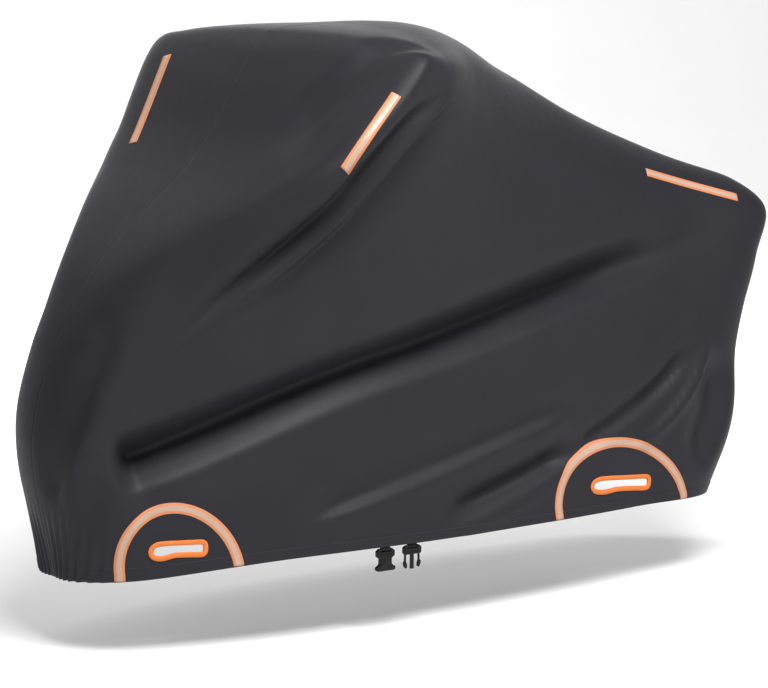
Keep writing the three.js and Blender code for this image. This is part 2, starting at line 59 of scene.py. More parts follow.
# Levels from the seam down to the hem, each read along nine ribs from front to rear:
# front seam, bar end, behind the bar, tank, seat, pillion, rear arch, tail corner, rear seam
LEVELS = {
    "crest": ((-430, -385, -240, 0, 250, 500, 750, 960, 1040),
              (0, 0, 0, 0, 0, 0, 0, 0, 0),
              (1424, 1431, 1436, 1424, 1307, 1180, 1078, 1004, 980)),
    "brow": ((-470, -378, -245, -15, 235, 485, 745, 985, 1068),
             (0, 395, 360, 215, 125, 105, 95, 95, 0),
             (1392, 1408, 1400, 1378, 1268, 1150, 1056, 988, 945)),
    "shoulder": ((-520, -385, -275, -55, 200, 460, 730, 1022, 1082),
                 (0, 506, 472, 335, 220, 180, 165, 180, 0),
                 (1320, 1376, 1338, 1280, 1190, 1085, 1003, 922, 895)),
    "flank": ((-635, -553, -410, -150, 120, 400, 685, 963, 1040),
              (0, 475, 462, 382, 305, 266, 245, 215, 0),
              (1145, 1160, 1110, 1020, 970, 900, 840, 800, 780)),
    "waist": ((-955, -908, -722, -380, -30, 300, 575, 868, 950),
              (0, 196, 318, 352, 340, 322, 295, 248, 0),
              (850, 862, 800, 720, 680, 640, 600, 580, 570)),
    "skirt": ((-1095, -1055, -918, -560, -150, 220, 505, 838, 920),
              (0, 148, 218, 310, 340, 335, 315, 270, 0),
              (520, 520, 480, 450, 430, 410, 400, 380, 370)),
    "hem": ((-1046, -1040, -955, -620, -200, 180, 460, 755, 850),
            (0, 70, 190, 315, 355, 350, 325, 268, 0),
            (172, 172, 182, 210, 210, 208, 205, 198, 200)),
}
LAST_RIB = 8
HEM_LEVEL = 6

# Folds, each a line over the cloth: side, reach of its upper bank, reach of its lower bank, rise (minus is a
# valley), softness of its bottom (1 is a sharp crease, 2 is round), the shares of its length over which it
# starts and ends, and points along it
LONG_TROUGH = ((930, 210, 910), (270, 310, 780), (-170, 345, 680), (-480, 330, 610), (-850, 245, 490),
               (-1000, 185, 440))
FOLDS = [
    ("near", 90, 100, -22, 1.6, 0.2, 0.3,
     ((-300, 370, 1410), (-440, 390, 1345), (-530, 335, 1250), (-620, 300, 1140))),
    ("near", 90, 60, 26, 1.3, 0.3, 0.25,
     ((-400, 520, 1325), (-545, 480, 1160), (-630, 415, 1050), (-880, 240, 800))),
    ("near", 34, 24, -20, 1.4, 0.3, 0.2,
     ((-250, 455, 1330), (-415, 510, 1235), (-495, 485, 1145), (-570, 410, 1030), (-950, 210, 665))),
    ("near", 26, 36, 18, 1.4, 0.35, 0.2,
     ((-220, 440, 1320), (-375, 490, 1220), (-455, 465, 1125), (-540, 410, 1010), (-930, 220, 650))),
    ("near", 30, 90, -14, 1.5, 0.3, 0.25,
     ((-210, 440, 1300), (-340, 480, 1205), (-420, 455, 1110), (-515, 410, 990), (-800, 280, 730))),
    ("near", 130, 220, -36, 1.2, 0.2, 0.08, LONG_TROUGH),
    ("near", 88, 75, -58, 1.6, 0.2, 0.08, LONG_TROUGH),
    ("near", 60, 26, -11, 1.4, 0.2, 0.2,
     ((270, 330, 495), (0, 340, 435), (-375, 335, 350), (-565, 320, 295))),
    ("near", 30, 60, 14, 1.4, 0.2, 0.2,
     ((285, 330, 475), (50, 340, 420), (-240, 345, 345), (-590, 315, 270))),
    ("near", 60, 40, -38, 1.5, 0.25, 0.3,
     ((275, 330, 383), (65, 345, 320), (-200, 350, 250))),
    ("near", 30, 30, 6, 1.6, 0.2, 0.2, ((185, 345, 290), (-15, 355, 240), (-130, 355, 210))),
    ("near", 55, 30, -24, 1.5, 0.25, 0.25,
     ((705, 290, 620), (570, 305, 505), (390, 320, 420), (180, 330, 352))),
    ("near", 32, 40, 22, 1.4, 0.25, 0.3,
     ((745, 285, 630), (685, 300, 515), (590, 315, 425), (420, 335, 335))),
    ("near", 100, 65, -36, 1.6, 0.3, 0.4,
     ((790, 275, 590), (765, 280, 450), (715, 295, 340), (670, 305, 260))),
    ("near", 60, 60, 8, 2.0, 0.3, 0.3, ((760, 275, 675), (660, 285, 610), (505, 310, 540), (340, 325, 500))),
    ("near", 90, 60, -13, 1.8, 0.4, 0.2,
     ((-960, 130, 825), (-1005, 155, 705), (-1085, 90, 470), (-1080, 45, 350))),
    ("near", 30, 60, 8, 1.6, 0.3, 0.2,
     ((-985, 175, 700), (-1035, 165, 570), (-1065, 130, 460), (-1070, 75, 340))),
    ("near", 40, 60, -8, 1.8, 0.3, 0.3, ((-1010, 175, 435), (-1035, 135, 330), (-1040, 95, 240))),
    ("far", 50, 50, -15, 1.5, 0.2, 0.3,
     ((-250, 460, 1310), (-400, 440, 1120), (-560, 370, 960), (-740, 270, 800))),
    ("far", 85, 180, -34, 1.4, 0.3, 0.15,
     ((820, 235, 880), (420, 285, 800), (60, 325, 720), (-320, 340, 640), (-700, 280, 540))),
    ("far", 40, 60, 12, 1.5, 0.2, 0.2, ((420, 322, 470), (60, 340, 400), (-300, 342, 330), (-540, 320, 270))),
    ("far", 60, 80, -16, 1.6, 0.3, 0.3, ((800, 275, 640), (720, 300, 500), (640, 312, 380))),
]


def smooth(start, end, value):
    """A share from 0 at start to 1 at end, level at both."""
    share = np.clip((value - start) / (end - start), 0, 1)
    return share * share * (3 - 2 * share)


def curve(points, step):
    """Reads one curve per row of points, in steps of one from point to point.

    Each row has a phantom point before its first point and after its last one.
    """
    least = 1e-6                       # keeps doubled points apart
    rows = np.arange(len(step))
    span = np.clip(step.astype(int), 0, points.shape[1] - 4)
    share = (step - span)[:, None]
    before, start, end, after = (points[rows, span + k] for k in range(4))

    def knot(a, b):
        return np.maximum(np.linalg.norm(b - a, axis=1), least)[:, None] ** 0.5

    into, along, out = knot(before, start), knot(start, end), knot(end, after)
    leave = ((start - before) / into - (end - before) / (into + along) + (end - start) / along) * along
    arrive = ((end - start) / along - (after - start) / (along + out) + (after - end) / out) * along
    bend = 3 * (end - start) - 2 * leave - arrive
    twist = 2 * (start - end) + leave + arrive
    return start + leave * share + bend * share**2 + twist * share**3


def on_side(points, side):
    """Table points on one side of the cover, with the turn of the bars."""
    x, y, z = np.array(points, float).reshape(-1, 3).T
    turn = STEER * y * smooth(*STEER_RANGE, z) * smooth(0, STEER_FULL, x)
    return np.stack([x - SIGN[side] * turn, SIGN[side] * y, z], axis=1)


def plain_cover(side, rib, level):
    """The smooth cover without its folds, at arrays of ribs and levels."""
    flip = np.array([1, -1, 1])
    rows = []
    for name, columns in LEVELS.items():
        points = on_side(np.stack(columns, axis=1), side)
        if name == "crest":
            ends = (2 * points[0] - points[1], 2 * points[-1] - points[-2])
        else:
            ends = (points[1] * flip, points[-2] * flip)
        whole = np.vstack([ends[0], points, ends[1]])
        rows.append(curve(np.broadcast_to(whole, (len(rib), *whole.shape)), rib))
    rows = np.stack(rows, axis=1)
    whole = np.concatenate([rows[:, 1:2] * flip, rows, 2 * rows[:, -1:] - rows[:, -2:-1]], axis=1)
    return curve(whole, level)


def normals_of(surface, side, rib, level, reach=0.02):
    """Outward normals of a surface function; on the seam they stay in the plane of the seam."""
    u = np.clip(rib, reach, LAST_RIB - reach)
    v = np.clip(level, reach, HEM_LEVEL - reach)
    along = surface(side, u + reach, v) - surface(side, u - reach, v)
    down = surface(side, u, v + reach) - surface(side, u, v - reach)
    normal = np.cross(along, down) * SIGN[side]
    normal[(rib == 0) | (rib == LAST_RIB) | (level == 0), 1] = 0
    return normal / np.linalg.norm(normal, axis=1, keepdims=True)


def fold_lift(fold, points, normals):
    """How far one fold lifts the cloth: a crease or ridge with two banks that dies out at its ends."""
    side, upper, lower, rise, softness, start, end, along = fold
    marks = on_side(along, side)
    whole = np.vstack([2 * marks[0] - marks[1], marks, 2 * marks[-1] - marks[-2]])
    step = np.linspace(0, len(marks) - 1, FOLD_STEPS + 1)
    path = curve(np.broadcast_to(whole, (len(step), *whole.shape)), step)
    pace = np.linalg.norm(np.gradient(path, axis=0), axis=1, keepdims=True)
    heading = np.gradient(path, axis=0) / pace
    lifts = np.zeros(len(points))
    low, high = path.min(axis=0) - FOLD_MARGIN, path.max(axis=0) + FOLD_MARGIN
    close = np.where(((points > low) & (points < high)).all(axis=1))[0]
    points, normals = points[close], normals[close]
    nearest = np.linalg.norm(points[:, None] - path[None], axis=2).argmin(axis=1)
    offset = points - path[nearest]
    ahead = (offset * heading[nearest]).sum(axis=1)
    across = np.cross(normals, heading[nearest])
    aside = (offset * across).sum(axis=1)
    off_cloth = (offset * normals).sum(axis=1)
    reach = np.where(aside * across[:, 2] > 0, upper, lower)
    share = np.clip(np.sqrt(aside**2 + OFF_CLOTH * off_cloth**2 + TIP**2) / reach, 0, 1)
    place = (nearest + ahead / pace[nearest, 0]) / FOLD_STEPS
    lifts[close] = rise * (1 - share**softness) ** 2 * smooth(0, start, place) * smooth(1, 1 - end, place)
    return lifts


def folded_cover(side, rib, level):
    """The cover with its folds, which die out towards the seam."""
    points = plain_cover(side, rib, level)
    normals = normals_of(plain_cover, side, rib, level)
    lift = sum(fold_lift(fold, points, normals) for fold in FOLDS if fold[0] == side)
    fade = smooth(0, SEAM_FADE, np.abs(points[:, 1]))
    return points + normals * (lift * fade)[:, None]


# The turned hem with its gathers, the waviness of the cloth and the sewn seam, in millimetres, ribs and
# levels
HEM_BAND = 28              # from the edge up to the hem's stitching
HEM_PROUD = 0.7            # the turned hem stands this much prouder than the panel
HEM_STEP = 1.5             # half the width of the step up to it
GATHER_RISE = 3.5          # small upright gathers where the hem holds elastic
GATHER_LEVELS = (5.4, 6)   # the levels over which they come in
GATHER_SEAM = 25           # they die out this close to the seam
GATHERS_FRONT = 9          # gathers from the front seam to the second rib
FRONT_RIBS = (2.0, 1.0)    # the ribs over which they come in
FRONT_UNEVEN = (0.6, 3)    # how far and how fast their spacing changes
GATHERS_REAR = 5           # gathers over the last rib
REAR_RIBS = (6.9, 7.5)
WAVE_RISE = 0.9            # a slight waviness all over
WAVE_SWING = 1.3
WAVE_RUN, WAVE_TURN, WAVE_CLIMB, WAVE_SLANT = 47, 61, 53, 140
WAVE_SEAM = 60             # it dies out this close to the seam
GROOVE = 2.2               # half the width of the groove that a row of stitches pulls
HEM_GROOVE = 0.9           # its depth along the hem
SEAM_GROOVE = 0.6          # and along the seam
SEAM_GAP = 0.15            # half the gap between the two panels


def finished_cover(side, rib, level):
    """The folded cover with its gathers, slight waviness, turned hem and drawn-in seam, in metres."""
    points = folded_cover(side, rib, level)
    normals = normals_of(plain_cover, side, rib, level)
    hem = folded_cover(side, rib, np.full_like(level, HEM_LEVEL))
    above_hem = np.linalg.norm(points - hem, axis=1)
    seam = np.abs(points[:, 1])
    low = smooth(*GATHER_LEVELS, level)
    swing, pace = FRONT_UNEVEN
    front = np.sin(2 * math.pi * GATHERS_FRONT * rib / 2 + swing * np.sin(pace * rib))
    front *= smooth(*FRONT_RIBS, rib)
    rear = np.sin(2 * math.pi * GATHERS_REAR * (rib - (LAST_RIB - 1))) * smooth(*REAR_RIBS, rib)
    lift = GATHER_RISE * low * (front + rear) * smooth(0, GATHER_SEAM, seam)
    x, _, z = points.T
    drift = np.sin(x / WAVE_RUN + WAVE_SWING * np.sin(z / WAVE_TURN))
    lift += WAVE_RISE * drift * np.sin(z / WAVE_CLIMB + x / WAVE_SLANT) * smooth(0, WAVE_SEAM, seam)
    lift += HEM_PROUD * smooth(HEM_BAND + HEM_STEP, HEM_BAND - HEM_STEP, above_hem)
    lift -= HEM_GROOVE * np.exp(-((above_hem - HEM_BAND) / GROOVE) ** 2)
    lift -= SEAM_GROOVE * np.exp(-((seam / GROOVE) ** 2))
    gap = np.array([0, SIGN[side] * SEAM_GAP, 0])
    return (points + normals * lift[:, None] + gap - CROWN) * MM


def finish_piece(bm, name, material):
    """Turns a bmesh into a smooth-shaded object with its material."""
    mesh = bpy.data.meshes.new(name)
    bm.to_mesh(mesh)
    bm.free()
    mesh.shade_smooth()
    mesh.materials.append(material)
    piece = bpy.data.objects.new(name, mesh)
    bpy.context.scene.collection.objects.link(piece)
    return piece


def apply_modifiers(piece):
    """Makes what the modifiers give the piece's own mesh."""
    bpy.context.view_layer.update()
    graph = bpy.context.evaluated_depsgraph_get()
    mesh = bpy.data.meshes.new_from_object(piece.evaluated_get(graph))
    piece.modifiers.clear()
    piece.data = mesh


def linear(code):
    """An sRGB hex colour as linear values."""
    channels = [int(code[k:k + 2], 16) / 255 for k in (1, 3, 5)]
    return [c / 12.92 if c <= 0.04045 else ((c + 0.055) / 1.055) ** 2.4 for c in channels] + [1.0]


def node(tree, kind, settings=None, **links):
    """Adds a shader node with its settings and with values or links on its named inputs."""
    made = tree.nodes.new(kind)
    for key, value in (settings or {}).items():
        setattr(made, key, value)
    for key, value in links.items():
        wanted = key.replace("_", " ").lower()
        target = next(s for s in made.inputs if s.name.lower() == wanted and s.enabled)
        if isinstance(value, bpy.types.NodeSocket):
            tree.links.new(value, target)
        else:
            target.default_value = value
    return made


def new_material(name):
    """A material with a bare surface shader, and the tree that its pattern goes in."""
    material = bpy.data.materials.new(name)
    material.use_nodes = True
    tree = material.node_tree
    return material, tree, tree.nodes["Principled BSDF"]


def blend_colours(tree, share, first, second):
    """A colour that goes from the first to the second with share."""
    ramp = node(tree, "ShaderNodeValToRGB", Fac=share)
    ramp.color_ramp.elements[0].color = linear(first)
    ramp.color_ramp.elements[1].color = linear(second)
    return ramp.outputs["Color"]


# Coated polyester oxford: a plain weave under a thin polyurethane film, so it is a soft satin with broad
# highlights. The threads are 0.5 mm apart, too fine to show, so the weave is drawn at 2.4 mm.
WEAVE = 2.4                # from thread to thread, in millimetres
WAVE_REPEAT = 0.314        # a wave texture of scale 1 repeats over this length, in metres
DYE_PATCHES = 9.0          # per metre: faint patches about 110 mm across
FILM_PATCHES = 34.0        # per metre: the film is thinner in places, about 30 mm across
FILM_ROUGHNESS = (0.48, 0.6)
CRUMPLES = 16.0            # per metre: soft crumples about 60 mm across
CRUMPLE_DEPTH = 0.004
THREAD_DEPTH = 0.0004
cloth_material, tree, shader = new_material("coated_oxford_cloth")
uv = node(tree, "ShaderNodeUVMap", {"uv_map": "cut"}).outputs["UV"]
cloth_place = node(tree, "ShaderNodeTexCoord").outputs["Object"]
threads = 1 / (WEAVE * MM) * WAVE_REPEAT
warp = node(tree, "ShaderNodeTexWave", {"bands_direction": "X"}, Vector=uv, Scale=threads)
weft = node(tree, "ShaderNodeTexWave", {"bands_direction": "Y"}, Vector=uv, Scale=threads)
weave = node(tree, "ShaderNodeMath", {"operation": "MULTIPLY"}, Value=warp.outputs["Fac"])
tree.links.new(weft.outputs["Fac"], weave.inputs[1])
mottle = node(tree, "ShaderNodeTexNoise", Vector=cloth_place, Scale=DYE_PATCHES, Detail=4.0, Roughness=0.55)
charcoal = blend_colours(tree, mottle.outputs["Fac"], "#252429", "#2a292f")
tree.links.new(charcoal, shader.inputs["Base Color"])
film = node(tree, "ShaderNodeTexNoise", Vector=cloth_place, Scale=FILM_PATCHES, Detail=3.0)
worn = node(tree, "ShaderNodeMapRange", Value=film.outputs["Fac"], To_Min=FILM_ROUGHNESS[0],
            To_Max=FILM_ROUGHNESS[1])
tree.links.new(worn.outputs["Result"], shader.inputs["Roughness"])
crumple = node(tree, "ShaderNodeTexNoise", Vector=cloth_place, Scale=CRUMPLES, Detail=2.0)
soft = node(tree, "ShaderNodeBump", Height=crumple.outputs["Fac"], Strength=0.12, Distance=CRUMPLE_DEPTH)
fine = node(tree, "ShaderNodeBump", Height=weave.outputs["Value"], Strength=0.06, Distance=THREAD_DEPTH,
            Normal=soft.outputs["Normal"])
tree.links.new(fine.outputs["Normal"], shader.inputs["Normal"])
shader.inputs["Specular IOR Level"].default_value = 0.2

# The grid of each panel: cells along the ribs and the levels, closer together at the seam, the creases and
# the hem, as shares of the cells and the ribs or levels that they reach
RIB_CELLS = 220
RIB_PLACES = ((0, 0.03, 0.1, 0.24, 0.48, 0.9, 0.97, 1), (0, 0.06, 0.6, 1.5, 3, 7.2, 7.93, 8))
LEVEL_CELLS = 205
LEVEL_PLACES = ((0, 0.04, 0.14, 0.3, 0.68, 0.92, 0.965, 1), (0, 0.06, 0.8, 1.9, 4.3, 5.7, 5.92, 6))
RIB_LENGTH, LEVEL_LENGTH = 0.32, 0.25      # mean spacing of the ribs and of the levels, in metres


def cover_grid(side):
    """One panel's outer face as a mapped grid, with a UV map of its cut in metres."""
    bm = bmesh.new()
    bmesh.ops.create_grid(bm, x_segments=RIB_CELLS, y_segments=LEVEL_CELLS, size=1)
    place = np.array([v.co for v in bm.verts])
    rib = np.interp((place[:, 0] + 1) / 2, *RIB_PLACES)
    level = np.interp((place[:, 1] + 1) / 2, *LEVEL_PLACES)
    for vert, co in zip(bm.verts, finished_cover(side, rib, level)):
        vert.co = co
    if side == "near":
        bmesh.ops.reverse_faces(bm, faces=bm.faces)
    cut = bm.loops.layers.uv.new("cut")
    bm.verts.index_update()
    for face in bm.faces:
        for loop in face.loops:
            index = loop.vert.index
            loop[cut].uv = (rib[index] * RIB_LENGTH, level[index] * LEVEL_LENGTH)
    return bm


panels = {}
trims = {"near": [], "far": []}
for side in ("near", "far"):
    panel = finish_piece(cover_grid(side), f"cloth_{side}", cloth_material)
    wall = panel.modifiers.new("cloth", "SOLIDIFY")
    wall.thickness = CLOTH * MM
    wall.offset = -1
    panels[side] = panel
    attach(panel, "root")
    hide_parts(f"panel_{side}")

# The slots: one low through each panel at the front and one at the rear, cut through the cloth. Each is long,
# with a square rear end and a fuller, drooping front end, and has an arch of tape round it.
ARCHES = {
    "front": dict(x=-846, y=240, yaw=-24, arch_z=195, arch_half=153, arch_rise=168, arch_slant=18,
                  slot_x=-851, slot_z=255, slot_length=120, slot_lean=-1),
    "rear": dict(x=419, y=330, yaw=4.3, arch_z=203, arch_half=234, arch_rise=189, arch_slant=43,
                 slot_x=412, slot_z=272, slot_length=196, slot_lean=-6),
}
# The edge of a slot: share of its half length, height in millimetres
SLOT_EDGE = ((0.96, -10), (1, -7), (1, 7), (0.96, 10), (0.5, 11), (0, 11), (-0.5, 10.5), (-0.82, 8),
             (-0.97, 1), (-1, -6), (-0.95, -12.5), (-0.82, -16), (-0.62, -16.5), (-0.42, -14), (-0.2, -10.5),
             (0.1, -9.5), (0.5, -10))
SLOT_STEPS = 140
CUT_REACH = 0.1            # a cutter reaches this far to either side of its frame, in metres
RAY_START = 0.15           # the cloth is looked for from this far outside a frame, in metres
RAY_LENGTH = 0.4


def side_frame(side, arch, x, z, lean):
    """A frame on one side by an arch: x along the side, y up, z outward, in metres in the part's frame."""
    turn = math.radians(-SIGN[side] * arch["yaw"])
    along = Vector((math.cos(turn), math.sin(turn), 0))
    out = SIGN[side] * Vector((-math.sin(turn), math.cos(turn), 0))
    up = Vector((0, 0, 1))
    tilt = math.radians(lean)
    axes = (along * math.cos(tilt) + up * math.sin(tilt), up * math.cos(tilt) - along * math.sin(tilt), out)
    slide = math.tan(turn) * (x - arch["x"])
    origin = (np.array([x, SIGN[side] * arch["y"] + slide, z]) - CROWN) * MM
    return Matrix([[*[axis[k] for axis in axes], origin[k]] for k in range(3)] + [[0, 0, 0, 1]])


def slot_edge(arch):
    """Points round a slot and the directions away from its hole, in millimetres in its frame."""
    marks = np.array([(share * arch["slot_length"] / 2, height, 0) for share, height in SLOT_EDGE])
    whole = np.vstack([marks[-1:], marks, marks[:2]])
    step = np.linspace(0, len(marks), SLOT_STEPS, endpoint=False)
    points = curve(np.broadcast_to(whole, (SLOT_STEPS, *whole.shape)), step)[:, :2]
    heading = np.roll(points, -1, axis=0) - np.roll(points, 1, axis=0)
    away = np.stack([heading[:, 1], -heading[:, 0]], axis=1) / np.linalg.norm(heading, axis=1, keepdims=True)
    return points, away


def slot_cutter(side, arch):
    """A prism through the cloth with the outline of a slot."""
    place = side_frame(side, arch, arch["slot_x"], arch["slot_z"], arch["slot_lean"])
    bm = bmesh.new()
    edge = [bm.verts.new(place @ Vector((x * MM, y * MM, -CUT_REACH))) for x, y in slot_edge(arch)[0]]
    face = bm.faces.new(edge)
    pushed = bmesh.ops.extrude_face_region(bm, geom=[face])["geom"]
    bmesh.ops.translate(bm, verts=[v for v in pushed if isinstance(v, bmesh.types.BMVert)],
                        vec=place.to_3x3() @ Vector((0, 0, 2 * CUT_REACH)))
    bmesh.ops.recalc_face_normals(bm, faces=bm.faces)
    return finish_piece(bm, "slot_cutter", cloth_material)


for side, panel in panels.items():
    cutters = [slot_cutter(side, arch) for arch in ARCHES.values()]
    for cutter in cutters:
        cut = panel.modifiers.new("slot", "BOOLEAN")
        cut.solver = "EXACT"
        cut.object = cutter
    apply_modifiers(panel)
    for cutter in cutters:
        bpy.data.objects.remove(cutter)
graph = bpy.context.evaluated_depsgraph_get()
cloth_faces = {side: BVHTree.FromObject(panel, graph) for side, panel in panels.items()}


def onto_cloth(side, place, x, y):
    """Where a point of a side frame, in millimetres, lands on the cloth, and which way it faces there."""
    out = place.to_3x3() @ Vector((0, 0, 1))
    start = place @ Vector((x * MM, y * MM, RAY_START))
    spot, normal, _, _ = cloth_faces[side].ray_cast(start, -out, RAY_LENGTH)
    return (spot, normal) if spot else cloth_faces[side].find_nearest(place @ Vector((x * MM, y * MM, 0)))[:2]


# Reflective tape, 25 mm wide, orange with a pale middle of glass beads, sewn flat on the cloth: a straight
# strip below each bar end and along each side of the tail, and an arch round each slot, with legs that run
# down to the hem.
TAPE_WIDTH = 25
TAPE_STEP = 5
TAPE_THICK = 0.7
# Across the tape: share of its width, height above the cloth in millimetres
TAPE_SECTION = ((-0.5, 0.15), (-0.495, 0.8), (-0.46, 1.1), (-0.3, 1.15), (-0.25, 1.35), (0, 1.4),
                (0.25, 1.35), (0.3, 1.15), (0.46, 1.1), (0.495, 0.8), (0.5, 0.15))
PALE_EDGE = (0.22, 0.27)   # shares of the width between which the pale middle turns orange
TAPE_PATCHES = 22.0        # per metre: faint streaks about 45 mm long
TAPE_ROUGHNESS = (0.35, 0.6)
BEADS = 500.0              # per metre: beads of 0.05 mm are too fine to show, so they are drawn 2 mm long
BEAD_DEPTH = 0.0003
# Glass-bead tape: the beads give its pale middle a soft gloss, and the dyed edges are matt
tape_material, tree, shader = new_material("reflective_tape")
uv = node(tree, "ShaderNodeUVMap", {"uv_map": "tape"}).outputs["UV"]
split = node(tree, "ShaderNodeSeparateXYZ", Vector=uv)
middle = node(tree, "ShaderNodeMath", {"operation": "ABSOLUTE"}, Value=split.outputs["Y"])
edge = node(tree, "ShaderNodeMapRange", Value=middle.outputs["Value"], From_Min=PALE_EDGE[0],
            From_Max=PALE_EDGE[1])
patches = node(tree, "ShaderNodeTexNoise", Vector=uv, Scale=TAPE_PATCHES, Detail=3.0)
pale = blend_colours(tree, patches.outputs["Fac"], "#b8957f", "#c4ab98")
orange = blend_colours(tree, patches.outputs["Fac"], "#cc7b50", "#d68a60")
both = node(tree, "ShaderNodeMix", {"data_type": "RGBA"}, Factor=edge.outputs["Result"], A=pale, B=orange)
dyed = next(socket for socket in both.outputs if socket.enabled)
tree.links.new(dyed, shader.inputs["Base Color"])
gloss = node(tree, "ShaderNodeMapRange", Value=edge.outputs["Result"], To_Min=TAPE_ROUGHNESS[0],
             To_Max=TAPE_ROUGHNESS[1])
tree.links.new(gloss.outputs["Result"], shader.inputs["Roughness"])
beads = node(tree, "ShaderNodeTexVoronoi", Vector=uv, Scale=BEADS)
bumps = node(tree, "ShaderNodeBump", Height=beads.outputs["Distance"], Strength=0.12, Distance=BEAD_DEPTH)
tree.links.new(bumps.outputs["Normal"], shader.inputs["Normal"])


def tape(name, side, place, line, width=TAPE_WIDTH):
    """A tape along a line of a side frame, in millimetres, laid on the cloth."""
    line = np.array(line, float)
    length = np.concatenate([[0], np.cumsum(np.linalg.norm(np.diff(line, axis=0), axis=1))])
    steps = max(2, round(length[-1] / TAPE_STEP))
    even = np.linspace(0, length[-1], steps + 1)
    line = np.stack([np.interp(even, length, line[:, k]) for k in range(2)], axis=1)
    heading = np.gradient(line, axis=0)
    aside = np.stack([-heading[:, 1], heading[:, 0]], axis=1) / np.linalg.norm(heading, axis=1, keepdims=True)
    bm = bmesh.new()
    bmesh.ops.create_grid(bm, x_segments=steps, y_segments=len(TAPE_SECTION) - 1, size=1)
    uv_layer = bm.loops.layers.uv.new("tape")
    cut = {}
    for vert in bm.verts:
        k = round((vert.co.x + 1) / 2 * steps)
        across, height = TAPE_SECTION[round((vert.co.y + 1) / 2 * (len(TAPE_SECTION) - 1))]
        spot, normal = onto_cloth(side, place, *(line[k] + aside[k] * across * width))
        vert.co = spot + normal * height * MM
        cut[vert] = (even[k] * MM, across)
    for face in bm.faces:
        for loop in face.loops:
            loop[uv_layer].uv = cut[loop.vert]
    bm.normal_update()
    outward = place.to_3x3() @ Vector((0, 0, 1))
    if sum(face.normal.dot(outward) for face in bm.faces) < 0:
        bmesh.ops.reverse_faces(bm, faces=bm.faces)
    piece = finish_piece(bm, name, tape_material)
    layer = piece.modifiers.new("tape", "SOLIDIFY")
    layer.thickness = TAPE_THICK * MM
    layer.offset = -1
    apply_modifiers(piece)
    trims[side].append(piece)
    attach(piece, "root")
    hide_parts(name)


# The arches: how their curve and their legs are read, in millimetres
HEM_MARKS = 600            # places at which the hem is read
SIDE_DEPTH = 120           # the hem within this distance of a frame's plane is on its side
ARCH_MARKS = 90
LEG_END = 1.5              # a leg ends this far above the hem's edge
LEG_LEAST = 2              # and the curve ends this far above that


def hem_height(side, place, x):
    """Height of the hem in a side frame where it crosses an upright line."""
    rib = np.linspace(0, LAST_RIB, HEM_MARKS)
    hem = finished_cover(side, rib, np.full_like(rib, HEM_LEVEL))
    local = np.array([place.inverted() @ Vector(point) for point in hem]) / MM
    local = local[np.abs(local[:, 2]) < SIDE_DEPTH]
    local = local[local[:, 0].argsort()]
    return np.interp(x, local[:, 0], local[:, 1])


for side in ("near", "far"):
    for name, arch in ARCHES.items():
        place = side_frame(side, arch, arch["x"], arch["arch_z"], 0)
        half, rise = arch["arch_half"] - TAPE_WIDTH / 2, arch["arch_rise"] - TAPE_WIDTH / 2
        legs = (hem_height(side, place, -half) + LEG_END, hem_height(side, place, half) + LEG_END)
        turn = np.linspace(math.pi, 0, ARCH_MARKS)
        slant = arch["arch_slant"] * np.sin(turn)
        line = np.stack([half * np.cos(turn) - slant, rise * np.sin(turn)], axis=1)
        ends = np.where(line[:, 0] < 0, *legs)
        line = line[line[:, 1] > ends + LEG_LEAST]
        line = [(line[0, 0], legs[0]), *line, (line[-1, 0], legs[1])]
        tape(f"arch_{name}_{side}", side, place, line)

# The straight strips: where each starts and ends, as rib and level, and the way from which it looks straight
FRONT_QUARTER = {"near": (-0.58, -0.8, 0.15), "far": (-0.58, 0.8, 0.15)}
STRIPS = {
    ("front", "near"): ((0.93, 2.42), (1.12, 3.06), FRONT_QUARTER["near"]),
    ("front", "far"): ((0.58, 2.08), (0.54, 3.06), FRONT_QUARTER["near"]),
    ("rear", "near"): ((5.6, 2), (6.58, 2), FRONT_QUARTER["near"]),
    ("rear", "far"): ((5.6, 2), (6.58, 2), FRONT_QUARTER["far"]),
}
LEAST_WIDTH = 0.75         # share of the tape's width that shows from there, at the least
for (end, side), (start, stop, seen) in STRIPS.items():
    rib, level = np.array((start, stop), float).T
    first, last = (Vector(point) for point in finished_cover(side, rib, level))
    normal = Vector(normals_of(folded_cover, side, *np.mean((start, stop), axis=0).reshape(2, 1))[0])
    along = (last - first).normalized()
    across = Vector(seen).cross(along).normalized()
    axes = (along, across, along.cross(across))
    middle = (first + last) / 2
    place = Matrix([[*[axis[k] for axis in axes], middle[k]] for k in range(3)] + [[0, 0, 0, 1]])
    reach = (last - first).length / MM / 2
    foreshortening = max(LEAST_WIDTH, abs(normal.cross(along).normalized().dot(across)))
    tape(f"strip_{end}_{side}", side, place, ((-reach, 0), (reach, 0)), TAPE_WIDTH * foreshortening)

# Bindings: a soft orange tape folded over the raw edge of each slot and sewn through, so it grips the cloth
# from both faces and stands a little proud of them.
# Across the fold, in millimetres: distance from the slot's edge over the cloth, height from its outer face
BINDING_SECTION = ((0.4, 0.3), (5, 0.3), (9.6, 0.3), (10, 1.2), (9, 2.1), (5, 2.5), (1, 2.5), (-1.3, 1.6),
                   (-2.3, -1), (-1.3, -3.6), (1, -4.5), (5, -4.5), (9, -4.1), (10, -3.2), (9.6, -2.3),
                   (5, -2.3), (0.4, -2.3), (-0.3, -1.7), (-0.3, -0.3))
INNER, OUTER = 3, 9        # where the binding's bed is read from the cloth, from the slot's edge
BINDING_WELD = 0.00002     # the ends of the tape are joined within this distance, in metres
BINDING_PATCHES = 60.0     # per metre: the dye varies over about 17 mm
BINDING_RIBS = 160.0       # ribs of the tape 2 mm apart, coarser than real ones so that they show
BINDING_DEPTH = 0.0004
